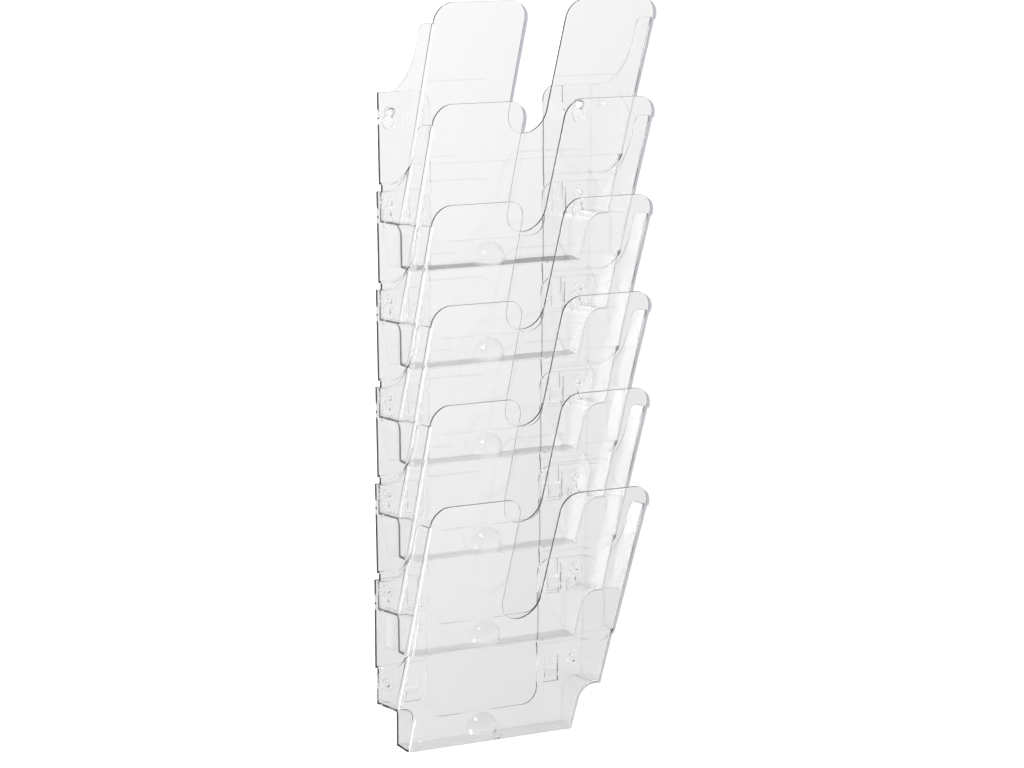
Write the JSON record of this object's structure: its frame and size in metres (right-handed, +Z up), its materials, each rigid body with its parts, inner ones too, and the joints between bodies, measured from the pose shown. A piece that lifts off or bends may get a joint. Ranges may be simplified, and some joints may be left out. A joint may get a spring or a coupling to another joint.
{
  "type": "wall brochure rack",
  "caption": "Wall-hung cascade of clear moulded pockets for portrait brochures, clipped together one below the other and hung on two keyholes.",
  "frame": {"origin": "on the wall plane, midway between the two wall screws that carry the top pocket", "axes": "+Z up, +X to the reader's right, +Y into the wall; the reader stands on the -Y side"},
  "size_m": [0.2494, 0.1437, 0.739],
  "materials": {
    "clear_plastic": "polished, clear",
    "zinc_steel": "zinc plated",
    "plug_nylon": "natural nylon"
  },
  "bodies": {
    "wall_fixings": {"wall_screw_left": "zinc_steel", "wall_screw_right": "zinc_steel", "wall_plug_left": "plug_nylon", "wall_plug_right": "plug_nylon"},
    "top_pocket": {"pocket_1": "clear_plastic"},
    "second_pocket": {"pocket_2": "clear_plastic"},
    "third_pocket": {"pocket_3": "clear_plastic"},
    "fourth_pocket": {"pocket_4": "clear_plastic"},
    "fifth_pocket": {"pocket_5": "clear_plastic"},
    "bottom_pocket": {"pocket_6": "clear_plastic"}
  },
  "joints": [
    {"name": "hang_lift", "type": "slide", "parent": "wall_fixings", "child": "top_pocket", "axis": [0, 0.0227, 0.9997], "range_m": [0, 0.0099]},
    {"name": "unclip_second_pocket", "type": "slide", "parent": "top_pocket", "child": "second_pocket", "axis": [0, -0.0227, -0.9997], "range_m": [0, 0.17]},
    {"name": "unclip_third_pocket", "type": "slide", "parent": "second_pocket", "child": "third_pocket", "axis": [0, -0.0227, -0.9997], "range_m": [0, 0.17]},
    {"name": "unclip_fourth_pocket", "type": "slide", "parent": "third_pocket", "child": "fourth_pocket", "axis": [0, -0.0227, -0.9997], "range_m": [0, 0.17]},
    {"name": "unclip_fifth_pocket", "type": "slide", "parent": "fourth_pocket", "child": "fifth_pocket", "axis": [0, -0.0227, -0.9997], "range_m": [0, 0.17]},
    {"name": "unclip_bottom_pocket", "type": "slide", "parent": "fifth_pocket", "child": "bottom_pocket", "axis": [0, 0, -1], "range_m": [0, 0.17]}
  ]
}
